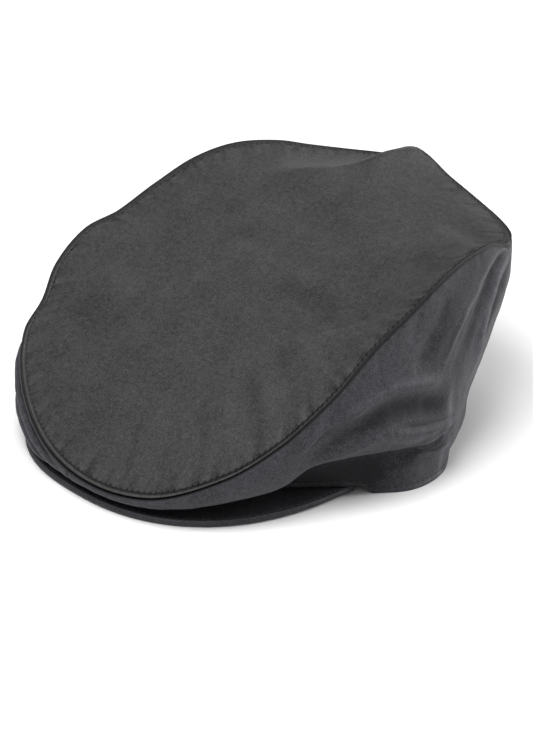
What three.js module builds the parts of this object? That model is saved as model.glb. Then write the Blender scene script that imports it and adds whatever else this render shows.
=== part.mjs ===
// A waxed flat cap as it lies by itself: one top panel, two side panels and a stiff peak.
// Millimetres and degrees. +Z is up, the peak faces -Y and +X is the wearer's left.
// Angles turn round the middle of the head opening, from the front toward the wearer's left.

import * as THREE from 'three';

const CLOTH = 1.5; // waxed cotton and its backing
const SEAM_GAP = 0.4; // between pieces that are sewn together
const STEEPEST_LEVEL = 0.5; // upward share of the normal below which the top's wall gets no deeper
const PEAK_THICKNESS = 3;
const PEAK_HALF_WIDTH = 86.5;
const PEAK_TIP_Y = -33; // where the peak's tips leave the hem
const PEAK_FRONT_Y = -128.8;
const PEAK_ROUNDNESS = 2.4; // exponent of the outline: 2 is an ellipse, more is squarer
const PEAK_INSET = 3; // how far the peak reaches in under the hem
const PEAK_TIP_LIFT = 0.8; // the tips' height over the surface
const PEAK_ROOT_LIFT = 2.6; // the same for the middle of the inner edge
const CROWN_HEIGHT = 77; // the top panel over the middle of the head opening
const CROWN_SLOPE = 0.3; // its rise toward the back
const CROWN_ROLL = 3.4; // how late the top panel turns down to its seam
const CENTRE_X = 1.1; // these two move the middle of the cap's width and length to the origin
const CENTRE_Y = 6.5;

const TOP_SECTORS = 72;
const TOP_RINGS = [0.14, 0.3, 0.46, 0.61, 0.74, 0.84, 0.91, 0.96, 1];
const SIDE_COLUMNS = 36;
const SIDE_ROWS = 16;
const PEAK_STATIONS = 44;
const RIM_POINTS = 5;

const CLOTH_TOP = { color: 0x4a4949, roughness: 0.62, metalness: 0 };
const CLOTH_SIDE = { color: 0x49484d, roughness: 0.6, metalness: 0 };
const CLOTH_PEAK = { color: 0x3f3e43, roughness: 0.6, metalness: 0 };

// One row for each section round the cap. A section runs down from the seam over the belly to the
// lip of the slumped fold, in under it to the tuck, and down the band to the hem.
const SECTION_COLUMNS = [
  'angle', 'seamR', 'seamZ', 'bellyR', 'bellyZ', 'lipR', 'lipZ', 'tuckR', 'tuckZ', 'bandR', 'bandZ', 'hemR',
];
const SECTIONS = table(SECTION_COLUMNS, [
  [0, 130, 12.8, 131.5, 10.5, 128.5, 5.6, 112, 7, 90, 10, 88.5],
  [20, 130, 13.2, 131.5, 10.8, 128.5, 6.5, 112, 8, 90.5, 11, 89],
  [36, 125.5, 26.5, 127.5, 19.5, 121.5, 11, 104, 11, 91, 11, 89.5],
  [48, 117.5, 41.2, 119.5, 31, 115.5, 17, 98, 15, 91, 11, 90],
  [54, 113, 50, 116, 37, 113, 24, 94, 21, 91, 11, 90.5],
  [60, 108.5, 58.5, 113, 42, 111, 26, 93, 24, 91.5, 12, 91],
  [72, 100.5, 75.2, 109, 48, 109.5, 25, 91.5, 25, 93.5, 12, 95],
  [84, 96.5, 86, 106.5, 52, 108.5, 22.5, 94, 22.5, 99, 9, 103],
  [96, 95.5, 95, 104.5, 58, 106, 18.5, 98.5, 14.5, 100, 7, 101],
  [108, 97, 100, 104.2, 67, 100.5, 33, 96, 18, 94, 8, 92],
  [120, 101.8, 99.8, 105, 72, 98.5, 38, 93.5, 20, 90.5, 9, 89],
  [130, 107, 92.8, 108.7, 70, 100, 40.5, 93.5, 22, 90, 9.5, 89],
  [144, 111.5, 86.5, 113.4, 68, 103.5, 42, 94, 24, 90, 10, 89],
  [156, 113.8, 83.8, 116.8, 66.5, 107, 40, 95, 22, 90.5, 9.5, 89.5],
  [168, 115.8, 84, 118.8, 66, 110, 38, 96, 20, 91, 9, 90],
  [180, 116.5, 89.5, 119.5, 67, 111, 38, 96.5, 20, 91, 9, 90],
  [187, 115.2, 97.8, 119.2, 68, 111, 38, 97, 20, 91.5, 9, 90.5],
  [191, 114.8, 100, 119, 68, 111, 38, 97, 20.5, 91.5, 9, 90.5],
  [197, 115, 94.4, 118.8, 67, 110.5, 38, 97, 21, 91.5, 9, 90.5],
  [204, 115.2, 92.8, 118.6, 66.5, 109.5, 38, 96.5, 21.5, 91.8, 9, 90.8],
  [212, 115, 92.5, 118.2, 66, 107.5, 38, 96, 22, 92, 9, 91],
  [220, 114.1, 93.6, 117, 66, 106.5, 38, 96, 22.5, 92, 9.2, 91.2],
  [228, 112.6, 96, 115.5, 65.5, 106, 37.5, 95.5, 23, 92, 9.5, 91.3],
  [240, 109.5, 96.7, 113, 64.5, 106, 36, 95, 24, 92, 10, 91.5],
  [252, 106.8, 92.3, 111.2, 61, 106.5, 32, 94.4, 24.6, 92, 10, 91.6],
  [264, 105.5, 83.8, 110.5, 56, 107.5, 28, 94, 25, 92, 10, 91.5],
  [278, 105.2, 75.6, 109.7, 51, 108, 26, 93.5, 25, 91.8, 10.5, 91.3],
  [289, 111, 71.3, 115, 47, 112.8, 25, 94, 24, 91.5, 11, 91],
  [300, 116, 60.2, 119.5, 42, 116, 22, 96, 20, 91.2, 11, 90.5],
  [309, 117.4, 48.8, 121, 36, 117.4, 18, 98, 17, 91, 11, 90.2],
  [318, 123.2, 41, 126.4, 32, 121.5, 15.5, 101.5, 14.5, 91, 10.5, 89.8],
  [336, 126.3, 26, 129.4, 19, 126, 8.5, 110, 10.5, 91, 10, 89],
]);

// Soft folds on the top panel, each from one plan point to another, with its height and half width.
const FOLD_COLUMNS = ['fromX', 'fromY', 'toX', 'toY', 'height', 'halfWidth'];
const FOLDS = table(FOLD_COLUMNS, [
  [-16, 112, -22, 86, 5, 9],
  [-24, 84, -50, 56, 3, 9],
]);

function table(columns, rows) {
  return rows.map((row) => Object.fromEntries(row.map((value, i) => [columns[i], value])));
}

function radians(degrees) {
  return (degrees * Math.PI) / 180;
}

function smoothStep(from, to, value) {
  const t = THREE.MathUtils.clamp((value - from) / (to - from), 0, 1);
  return t * t * (3 - 2 * t);
}

// The section at any angle: a smooth closed curve through the rows.
function sectionAt(angle) {
  const turned = ((angle % 360) + 360) % 360;
  const count = SECTIONS.length;
  const row = SECTIONS.findLastIndex((section) => section.angle <= turned);
  const near = [-1, 0, 1, 2].map((step) => {
    const index = row + step;
    const section = SECTIONS[(index + count) % count];
    return { ...section, angle: section.angle + 360 * Math.floor(index / count) };
  });
  const [a, b, c, d] = near;
  const span = c.angle - b.angle;
  const t = (turned - b.angle) / span;
  const section = {};
  for (const name of SECTION_COLUMNS.slice(1)) {
    const slopeB = ((c[name] - a[name]) / (c.angle - a.angle)) * span;
    const slopeC = ((d[name] - b[name]) / (d.angle - b.angle)) * span;
    const bend = 2 * (b[name] - c[name]) + slopeB + slopeC;
    const turn = 3 * (c[name] - b[name]) - 2 * slopeB - slopeC;
    section[name] = ((bend * t + turn) * t + slopeB) * t + b[name];
  }
  return section;
}

function placed(angle, radius, height) {
  const turn = radians(angle);
  return new THREE.Vector3(radius * Math.sin(turn), -radius * Math.cos(turn), height);
}

// The peak's underside at an angle: across is 0 on the inner edge and 1 on the outer one.
function peakUnderside(angle, across) {
  const share = Math.min((signedAngle(angle) / peakTipAngle()) ** 2, 1);
  return PEAK_TIP_LIFT * share + PEAK_ROOT_LIFT * (1 - across) * (1 - share);
}

function peakTipAngle() {
  return THREE.MathUtils.radToDeg(Math.atan2(PEAK_HALF_WIDTH, -PEAK_TIP_Y));
}

function signedAngle(angle) {
  return ((((angle + 180) % 360) + 360) % 360) - 180;
}

// The hem stands on the peak at the front and comes down to the surface beyond its tips.
function hemHeight(angle) {
  const tip = peakTipAngle();
  const onPeak = 1 - smoothStep(tip + 1, tip + 5, Math.abs(signedAngle(angle)));
  return onPeak * (peakUnderside(angle, 0) + PEAK_THICKNESS + SEAM_GAP);
}

// A chain of quadratic curves that is tangent to each side of the polygon.
function alongPolygon(corners, t) {
  const last = corners.length - 1;
  const spans = last - 1;
  const span = Math.min(Math.floor(t * spans), spans - 1);
  const s = t * spans - span;
  const start = span === 0 ? corners[0] : corners[span].clone().lerp(corners[span + 1], 0.5);
  const end = span === spans - 1 ? corners[last] : corners[span + 1].clone().lerp(corners[span + 2], 0.5);
  const first = start.clone().lerp(corners[span + 1], s);
  const second = corners[span + 1].clone().lerp(end, s);
  return first.lerp(second, s);
}

// The side panels' outer face: down is 0 at the seam and 1 at the hem.
function sidePoint(angle, down) {
  const at = sectionAt(angle);
  const seam = new THREE.Vector2(at.seamR, at.seamZ);
  const belly = new THREE.Vector2(at.bellyR, at.bellyZ);
  const lip = new THREE.Vector2(at.lipR, at.lipZ);
  const tuck = new THREE.Vector2(at.tuckR, at.tuckZ);
  const hem = new THREE.Vector2(at.hemR, hemHeight(angle));
  const band = new THREE.Vector2(at.bandR, Math.max(at.bandZ, hem.y + 2));
  const point = alongPolygon([seam, belly, lip, tuck, band, hem], down);
  return placed(angle, point.x, point.y);
}

function foldHeight(x, y) {
  let height = 0;
  for (const fold of FOLDS) {
    const along = new THREE.Vector2(fold.toX - fold.fromX, fold.toY - fold.fromY);
    const from = new THREE.Vector2(x - fold.fromX, y - fold.fromY);
    const share = from.dot(along) / along.lengthSq();
    const beside = from.cross(along) / along.length();
    const fade = smoothStep(-0.3, 0.2, share) * (1 - smoothStep(0.8, 1.3, share));
    height += fold.height * fade * Math.exp(-((beside / fold.halfWidth) ** 2));
  }
  return height;
}

// The top panel's outer face: out is 0 over the middle and 1 at the seam.
function topPoint(angle, out) {
  const at = sectionAt(angle);
  const seam = placed(angle, at.seamR, at.seamZ);
  const point = placed(angle, at.seamR * out, 0);
  const seamDrop = seam.z - CROWN_HEIGHT - CROWN_SLOPE * seam.y;
  point.z = CROWN_HEIGHT + CROWN_SLOPE * point.y + seamDrop * out ** CROWN_ROLL;
  point.z += foldHeight(point.x, point.y) * (1 - out ** 14);
  return point;
}

// Unit normal of a face, to the left of its second direction seen from its first.
function normalOf(face, a, b) {
  const stepA = 0.5;
  const stepB = 0.004;
  const low = Math.max(b - stepB, 0);
  const high = Math.min(b + stepB, 1);
  const alongA = face(a + stepA, b).sub(face(a - stepA, b));
  const alongB = face(a, high).sub(face(a, low));
  return alongB.cross(alongA).normalize();
}

// The inner face of the side panels lies one cloth in along the normal. That of the top panel lies
// straight below its outer face, so that the tight folds of the cloth never meet themselves.
function sideInner(angle, down) {
  return sidePoint(angle, down).addScaledVector(normalOf(sidePoint, angle, down), -CLOTH);
}

function topInner(angle, out) {
  const level = Math.abs(normalOf(topPoint, angle, out).z);
  const point = topPoint(angle, out);
  point.z -= CLOTH / Math.max(level, STEEPEST_LEVEL);
  return point;
}

// The mitre of the crown's seam: the line in which the two panels' edges face each other.
function mitreAt(angle) {
  const seam = sidePoint(angle, 0);
  const intoTop = topPoint(angle, 0.97).sub(seam).normalize();
  const intoSide = sidePoint(angle, 0.03).sub(seam).normalize();
  const inwards = intoTop.clone().add(intoSide).normalize();
  const toTop = intoTop.clone().sub(intoSide).normalize();
  const sine = Math.sqrt(1 - inwards.dot(intoTop) ** 2);
  const depth = CLOTH / Math.max(sine, 0.5);
  return { seam, inner: seam.clone().addScaledVector(inwards, depth), toTop };
}

function meshOf(name, points, faces, finish) {
  const geometry = new THREE.BufferGeometry();
  geometry.setAttribute('position', new THREE.Float32BufferAttribute(points.flatMap((p) => p.toArray()), 3));
  geometry.setIndex(faces.flat());
  geometry.computeVertexNormals();
  const mesh = new THREE.Mesh(geometry, new THREE.MeshStandardMaterial(finish));
  mesh.name = name;
  return mesh;
}

// Two triangles of one patch, turned over for the inner face, with the same diagonal on both.
function patch(corners, turnedOver) {
  const [a, b, c, d] = corners;
  const faces = [[a, b, c], [a, c, d]];
  return turnedOver ? faces.map((face) => face.reverse()) : faces;
}

function topPanel() {
  const points = [];
  const faces = [];
  const layers = [];
  for (const inner of [false, true]) {
    const middle = points.length;
    points.push(inner ? topPoint(0, 0).setZ(topPoint(0, 0).z - CLOTH) : topPoint(0, 0));
    const first = points.length;
    for (const out of TOP_RINGS) {
      for (let i = 0; i < TOP_SECTORS; i++) {
        const angle = (360 * i) / TOP_SECTORS;
        if (out === 1) {
          const mitre = mitreAt(angle);
          points.push((inner ? mitre.inner : mitre.seam).addScaledVector(mitre.toTop, SEAM_GAP / 2));
        } else {
          points.push(inner ? topInner(angle, out) : topPoint(angle, out));
        }
      }
    }
    layers.push({ middle, first });
    const at = (ring, i) => first + ring * TOP_SECTORS + (i % TOP_SECTORS);
    for (let i = 0; i < TOP_SECTORS; i++) {
      const fan = [middle, at(0, i), at(0, i + 1)];
      faces.push(inner ? fan.reverse() : fan);
      for (let ring = 0; ring < TOP_RINGS.length - 1; ring++) {
        faces.push(...patch([at(ring, i), at(ring + 1, i), at(ring + 1, i + 1), at(ring, i + 1)], inner));
      }
    }
  }
  const edge = (layer, i) => layer.first + (TOP_RINGS.length - 1) * TOP_SECTORS + (i % TOP_SECTORS);
  for (let i = 0; i < TOP_SECTORS; i++) {
    const [outer, inner] = layers;
    faces.push(...patch([edge(outer, i), edge(inner, i), edge(inner, i + 1), edge(outer, i + 1)], false));
  }
  return meshOf('top_panel', points, faces, CLOTH_TOP);
}

// One side panel, from the front seam to the back one, on the side that the sign gives.
function sidePanel(name, side) {
  const points = [];
  const grid = [];
  for (let layer = 0; layer < 2; layer++) {
    grid.push([]);
    for (let i = 0; i <= SIDE_COLUMNS; i++) {
      grid[layer].push([]);
      for (let j = 0; j <= SIDE_ROWS; j++) {
        grid[layer][i].push(points.length);
        points.push(sideVertex(side * ((180 * i) / SIDE_COLUMNS), j / SIDE_ROWS, layer === 1, side, i));
      }
    }
  }
  const faces = [];
  const add = (corners, turned = false) => faces.push(...patch(corners, turned !== side < 0));
  const [outer, inner] = grid;
  const end = SIDE_COLUMNS;
  const foot = SIDE_ROWS;
  for (let i = 0; i < SIDE_COLUMNS; i++) {
    for (let j = 0; j < SIDE_ROWS; j++) {
      for (const layer of grid) {
        add([layer[i][j], layer[i][j + 1], layer[i + 1][j + 1], layer[i + 1][j]], layer === inner);
      }
    }
    add([outer[i + 1][0], inner[i + 1][0], inner[i][0], outer[i][0]]);
    add([outer[i][foot], inner[i][foot], inner[i + 1][foot], outer[i + 1][foot]]);
  }
  for (let j = 0; j < SIDE_ROWS; j++) {
    add([outer[0][j], inner[0][j], inner[0][j + 1], outer[0][j + 1]]);
    add([outer[end][j + 1], inner[end][j + 1], inner[end][j], outer[end][j]]);
  }
  return meshOf(name, points, faces, CLOTH_SIDE);
}

function sideVertex(angle, down, isInner, side, column) {
  let point;
  if (down === 0) {
    const mitre = mitreAt(angle);
    point = (isInner ? mitre.inner : mitre.seam).addScaledVector(mitre.toTop, -SEAM_GAP / 2);
  } else if (down === 1) {
    point = placed(angle, sectionAt(angle).hemR - (isInner ? CLOTH : 0), hemHeight(angle));
  } else {
    point = isInner ? sideInner(angle, down) : sidePoint(angle, down);
  }
  if (column === 0 || column === SIDE_COLUMNS) point.x = (side * SEAM_GAP) / 2;
  return point;
}

// The peak: a rounded plate between its outline and a line just inside the hem.
function peak() {
  const points = [];
  const faces = [];
  const loop = 2 * RIM_POINTS + 4;
  for (let i = 0; i <= PEAK_STATIONS; i++) {
    const turn = Math.PI * (i / PEAK_STATIONS - 0.5);
    const power = 2 / PEAK_ROUNDNESS;
    const x = PEAK_HALF_WIDTH * Math.sign(turn) * Math.abs(Math.sin(turn)) ** power;
    const y = PEAK_TIP_Y + (PEAK_FRONT_Y - PEAK_TIP_Y) * Math.max(Math.cos(turn), 0) ** power;
    const angle = THREE.MathUtils.radToDeg(Math.atan2(x, -y));
    const outerR = Math.hypot(x, y);
    const innerR = sectionAt(angle).hemR - PEAK_INSET;
    const half = PEAK_THICKNESS / 2;
    const place = (radius, offset) => {
      const across = (radius - innerR) / (outerR - innerR);
      points.push(placed(angle, radius, peakUnderside(angle, across) + half + offset));
    };
    place(innerR, -half);
    place((innerR + outerR - half) / 2, -half);
    for (let k = 0; k < 2 * RIM_POINTS; k++) {
      const roll = Math.PI * (k / (2 * RIM_POINTS - 1) - 0.5);
      place(outerR - half + half * Math.cos(roll), half * Math.sin(roll));
    }
    place((innerR + outerR - half) / 2, half);
    place(innerR, half);
  }
  const at = (i, k) => i * loop + (k % loop);
  for (let i = 0; i < PEAK_STATIONS; i++) {
    for (let k = 0; k < loop; k++) {
      faces.push(...patch([at(i, k), at(i + 1, k), at(i + 1, k + 1), at(i, k + 1)], false));
    }
  }
  for (let k = 1; k < loop - 1; k++) {
    faces.push([at(0, 0), at(0, k), at(0, k + 1)]);
    faces.push([at(PEAK_STATIONS, 0), at(PEAK_STATIONS, k + 1), at(PEAK_STATIONS, k)]);
  }
  return meshOf('peak', points, faces, CLOTH_PEAK);
}

const cap = new THREE.Group();
cap.add(topPanel(), sidePanel('side_panel_left', 1), sidePanel('side_panel_right', -1), peak());
cap.position.set(CENTRE_X, CENTRE_Y, 0);

export default cap;
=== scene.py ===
"""A waxed flat cap: two slumped side panels and a sloping top panel over a short stiff peak.

Lengths are in millimetres until a piece is made, when they become metres. Angles turn round the
middle of the head opening, from the front toward the wearer's left, in degrees.
"""

import math

import bpy
import numpy as np
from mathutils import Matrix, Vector


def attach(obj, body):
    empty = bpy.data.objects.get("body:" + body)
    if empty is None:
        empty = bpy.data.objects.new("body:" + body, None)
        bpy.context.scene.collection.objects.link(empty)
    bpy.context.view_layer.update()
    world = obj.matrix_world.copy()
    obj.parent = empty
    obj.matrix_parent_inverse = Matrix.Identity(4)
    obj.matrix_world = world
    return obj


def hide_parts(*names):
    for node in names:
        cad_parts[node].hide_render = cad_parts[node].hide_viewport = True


MM = 0.001
CENTRE = np.array([1.1, 6.5, 0.0])  # the middle of the head opening, from the middle of the cap

CLOTH = 1.5
SEAM_GAP = 0.4
PEAK_THICKNESS = 3.0
PEAK_HALF_WIDTH = 86.5
PEAK_TIP_Y = -33.0
PEAK_FRONT_Y = -128.8
PEAK_ROUNDNESS = 2.4
PEAK_INSET = 3.0
PEAK_TIP_LIFT = 0.8
PEAK_ROOT_LIFT = 2.6
CROWN_HEIGHT = 77.0
CROWN_SLOPE = 0.3
CROWN_ROLL = 3.4
CLOSER_AT_SEAM = 1.2  # draws a profile's points toward the seam
FOLDS_END_AT_SEAM = 14  # how close to the seam the top panel's folds run
HEM_STEP = (1, 5)  # the hem comes down to the ground between these angles past the peak's tip
LEAST_BAND = 2  # the least height of the band over its hem

# The stitch lines' distances from the seam, the hem and the peak's edge, and the stitches.
TOPSTITCH_IN = 3.0
HEM_STITCH_UP = 2.2
EDGE_STITCH_IN = 2.4
EDGE_STITCH_SINK = 0.15
STITCH_PITCH = 3.0
STITCH_LENGTH = 2.2
STITCH_LIFT = 0.08
STITCH_FLATNESS = 0.8  # a stitch's height as a share of its width

# The waxed cloth's pattern: sizes, the tones that it is between, and how strong each part is.
WEAVE_PITCH = 0.62
GRAIN_SIZE = 0.62
MOTTLE_SIZE = 2.4
CLOUD_SIZE = 19.0
WRINKLE_SIZE = 5.0
# The colour that the painted shade in seams, grooves and needle holes darkens the cloth toward.
PAINTED_SHADE_COLOUR = (0.004, 0.004, 0.005, 1)
PLAIN_TONE = 0.5
PALEST = 1.8  # the tone of the palest cloth, where it is worn or where highlight is painted
GRAIN_CONTRAST = 2.2
MOTTLE_CONTRAST = 0.9
CLOUD_CONTRAST = 0.5
FLECK_CONTRAST = 0.5
# How much worn cloth and painted highlight and shade make the cloth paler or darker.
RUB_AND_PAINTED_LIGHT_CONTRAST = 0.3
# How dark the painted shade in seams, grooves and needle holes is at most.
PAINTED_SHADE_DARKNESS = 0.92

# How finely the pieces are divided, and how their folds, waves and puckers are drawn.
TOP_SECTORS = 760
SIDE_COLUMNS = 300
PEAK_STATIONS = 220
PROFILE_POINTS = 500
CHART_RADIUS = 105.0  # turns an angle into a length on the side panels' chart
CREASE_ROUND = 0.35  # how far a sharp crease stays round, as a share of its half width
CREASE_FALL = 1.4  # how steeply it falls away beyond that
FOLD_RISEN = 0.2  # the share of its path after which a fold has its full height
FOLD_FALLS = 0.75  # the share after which it fades out
DENT_FOLDS = 3  # the first rows of the top panel's folds, which make the dent at the back
FOLD_RUB_AND_SHADING_LEVEL = 1.5  # the height of a fold from which its rub and painted shading hardly grow
ROUND_TURN = 6.28  # the range that a wave's start is drawn from
UNDULATION_WAVES = 9

# Soft unevenness of the cloth: height, pitch, the seed of its waves, and the distances from the
# seam where it starts and where it is whole.
TOP_UNEVEN = [(0.5, 42, 3, 3, 20), (0.22, 15, 4, 3, 14)]
SIDE_UNEVEN = [(0.45, 34, 7, 2, 16), (0.2, 12, 9, 2, 8)]

# Puckers across the crown's seam, coarse and fine, and how far they reach past the stitches.
PUCKER_PITCH = 9.0
PUCKER_SEED = 11
PUCKER_REACH = 6
PUCKER_HEIGHT = 0.9
FINE_PUCKER_PITCH = 4.4
FINE_PUCKER_SEED = 12
FINE_PUCKER_REACH = 2.5
FINE_PUCKER_SHARE = 0.5
PUCKER_START = -0.4  # from the topstitching
PUCKER_WHOLE = 1
SIDE_PUCKER_REACH = 5
SIDE_PUCKER_HEIGHT = 0.25
SIDE_PUCKER_START = 0.6  # from the seam
SIDE_PUCKER_WHOLE = 2.5

# The rolled strip of the top panel between the seam and the topstitching.
STRIP_HEIGHT = 1.0
STRIP_RISEN = 0.9
STRIP_FALLS = 1.9
GROOVE_DEPTH = 0.4
GROOVE_HALF_WIDTH = 0.5
SEAM_ROUND_DEPTH = 0.5
SEAM_ROUND_WIDTH = 0.4

# Ridges, and grooves if the height is below 0, along the side panels' edges: height, distance
# of the middle from the edge, half width.
SEAM_RIDGES = [(-0.8, 0, 0.7)]
HEM_RIDGES = [(0.3, 0.9, 1.0), (-0.2, HEM_STITCH_UP, 0.5)]
END_RIDGES = [(-0.6, 0, 0.8), (0.2, 2.5, 1.5)]
FOLDS_WHOLE_BELOW_SEAM = 4
FOLDS_WHOLE_ABOVE_HEM = 12

# Needle holes show most where the seam is drawn taut, on the wearer's left; their darkness is painted
# shade.
TAUT_ANGLE = 95
TAUT_HALF_WIDTH = 50
LEAST_TAUT = 0.45
MORE_TAUT = 0.55
DRAWN_SHARE = 0.4  # how far a hole draws the cloth behind it into a wedge of painted shade
DRAWN_START = 0.3
DRAWN_REACH = 1.4

# Painted shading over the puckers, paler on their crests and darker in their hollows, and on the folds,
# where the pale ridges are partly worn cloth and partly painted highlight and the dark creases are painted
# shade.
PUCKER_PAINTED_SHADING = 1.3
TOP_FOLD_RUB_AND_SHADING = 0.5
SIDE_PUCKER_PAINTED_SHADING = 0.35
SIDE_FOLD_RUB_AND_SHADING = 0.35

# Along the edges: how pale the cloth is, partly worn and partly painted highlight on rolled edges and
# painted light on the band; how much shade is painted in a seam or groove; or how near to needle
# holes, whose darkness is painted shade; the distance of the middle from the edge, and the half width.
STRIP_RUB_AND_HIGHLIGHT = [(1.9, 1.3, 0.8)]
HEM_RUB_AND_HIGHLIGHT = [(1.3, 1.2, 0.8)]
BAND_PAINTED_LIGHT = [(0.5, 5, 5)]
PEAK_EDGE_RUB_AND_HIGHLIGHT = [(2.2, 1.0, 0.6)]
TOP_PAINTED_SHADE = [(1, 0, 0.5), (0.6, TOPSTITCH_IN, 0.5)]
END_PAINTED_SHADE = [(0.8, 0, 0.4)]
PEAK_EDGE_PAINTED_SHADE = [(0.3, EDGE_STITCH_IN, 0.5)]
HEM_HOLES = [(0.3, HEM_STITCH_UP, 0.45)]
PEAK_EDGE_HOLES = [(0.5, EDGE_STITCH_IN, 0.45)]

# Painted shade along the seam's joint on the side panels, widest at their middle.
SEAM_SHADE_ANGLE = 105
SEAM_SHADE_HALF_WIDTH = 45
SEAM_SHADE_LEAST = 0.7
SEAM_SHADE_MORE = 0.9
SEAM_SHADE_EDGE = 0.8

# Rows of a panel by their distance from the crown's seam, closest where the cloth is sewn.
SEWN_ROWS = [0, 0.25, 0.5, 0.8, 1.2, 1.6, 2, 2.4, 2.7, 3, 3.3, 3.7, 4.3, 5.2, 6.6, 8.6, 11]
TOPSTITCH_ROW = SEWN_ROWS.index(TOPSTITCH_IN)
TOP_LEAVING_ROW = SEWN_ROWS.index(2.7)  # shows which way the cloth leaves the seam
TOP_INNER_ROW = SEWN_ROWS.index(5.2)  # the first row that the inner face has too
TOP_INNER_STEP = 4
TOP_PLAIN_ROWS = 76
SIDE_SEWN_ROWS = [0, 0.35, 0.7, 1.1, 1.6, 2.2, 3, 4, 5.2, 6.6]
SIDE_LEAVING_ROW = SIDE_SEWN_ROWS.index(2.2)
SIDE_INNER_ROW = SIDE_SEWN_ROWS.index(5.2)
SIDE_INNER_STEP = 3
SIDE_PLAIN_ROWS = 110

SECTION_COLUMNS = (
    "angle seam_r seam_z belly_r belly_z lip_r lip_z tuck_r tuck_z band_r band_z hem_r".split()
)
SECTIONS = np.array([
    [0, 130, 12.8, 131.5, 10.5, 128.5, 5.6, 112, 7, 90, 10, 88.5],
    [20, 130, 13.2, 131.5, 10.8, 128.5, 6.5, 112, 8, 90.5, 11, 89],
    [36, 125.5, 26.5, 127.5, 19.5, 121.5, 11, 104, 11, 91, 11, 89.5],
    [48, 117.5, 41.2, 119.5, 31, 115.5, 17, 98, 15, 91, 11, 90],
    [54, 113, 50, 116, 37, 113, 24, 94, 21, 91, 11, 90.5],
    [60, 108.5, 58.5, 113, 42, 111, 26, 93, 24, 91.5, 12, 91],
    [72, 100.5, 75.2, 109, 48, 109.5, 25, 91.5, 25, 93.5, 12, 95],
    [84, 96.5, 86, 106.5, 52, 108.5, 22.5, 94, 22.5, 99, 9, 103],
    [96, 95.5, 95, 104.5, 58, 106, 18.5, 98.5, 14.5, 100, 7, 101],
    [108, 97, 100, 104.2, 67, 100.5, 33, 96, 18, 94, 8, 92],
    [120, 101.8, 99.8, 105, 72, 98.5, 38, 93.5, 20, 90.5, 9, 89],
    [130, 107, 92.8, 108.7, 70, 100, 40.5, 93.5, 22, 90, 9.5, 89],
    [144, 111.5, 86.5, 113.4, 68, 103.5, 42, 94, 24, 90, 10, 89],
    [156, 113.8, 83.8, 116.8, 66.5, 107, 40, 95, 22, 90.5, 9.5, 89.5],
    [168, 115.8, 84, 118.8, 66, 110, 38, 96, 20, 91, 9, 90],
    [180, 116.5, 89.5, 119.5, 67, 111, 38, 96.5, 20, 91, 9, 90],
    [187, 115.2, 97.8, 119.2, 68, 111, 38, 97, 20, 91.5, 9, 90.5],
    [191, 114.8, 100, 119, 68, 111, 38, 97, 20.5, 91.5, 9, 90.5],
    [197, 115, 94.4, 118.8, 67, 110.5, 38, 97, 21, 91.5, 9, 90.5],
    [204, 115.2, 92.8, 118.6, 66.5, 109.5, 38, 96.5, 21.5, 91.8, 9, 90.8],
    [212, 115, 92.5, 118.2, 66, 107.5, 38, 96, 22, 92, 9, 91],
    [220, 114.1, 93.6, 117, 66, 106.5, 38, 96, 22.5, 92, 9.2, 91.2],
    [228, 112.6, 96, 115.5, 65.5, 106, 37.5, 95.5, 23, 92, 9.5, 91.3],
    [240, 109.5, 96.7, 113, 64.5, 106, 36, 95, 24, 92, 10, 91.5],
    [252, 106.8, 92.3, 111.2, 61, 106.5, 32, 94.4, 24.6, 92, 10, 91.6],
    [264, 105.5, 83.8, 110.5, 56, 107.5, 28, 94, 25, 92, 10, 91.5],
    [278, 105.2, 75.6, 109.7, 51, 108, 26, 93.5, 25, 91.8, 10.5, 91.3],
    [289, 111, 71.3, 115, 47, 112.8, 25, 94, 24, 91.5, 11, 91],
    [300, 116, 60.2, 119.5, 42, 116, 22, 96, 20, 91.2, 11, 90.5],
    [309, 117.4, 48.8, 121, 36, 117.4, 18, 98, 17, 91, 11, 90.2],
    [318, 123.2, 41, 126.4, 32, 121.5, 14, 101.5, 12.5, 91, 10.5, 89.8],
    [336, 126.3, 26, 129.4, 18, 126.5, 4.2, 110, 5.6, 91, 9, 89],
])

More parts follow.
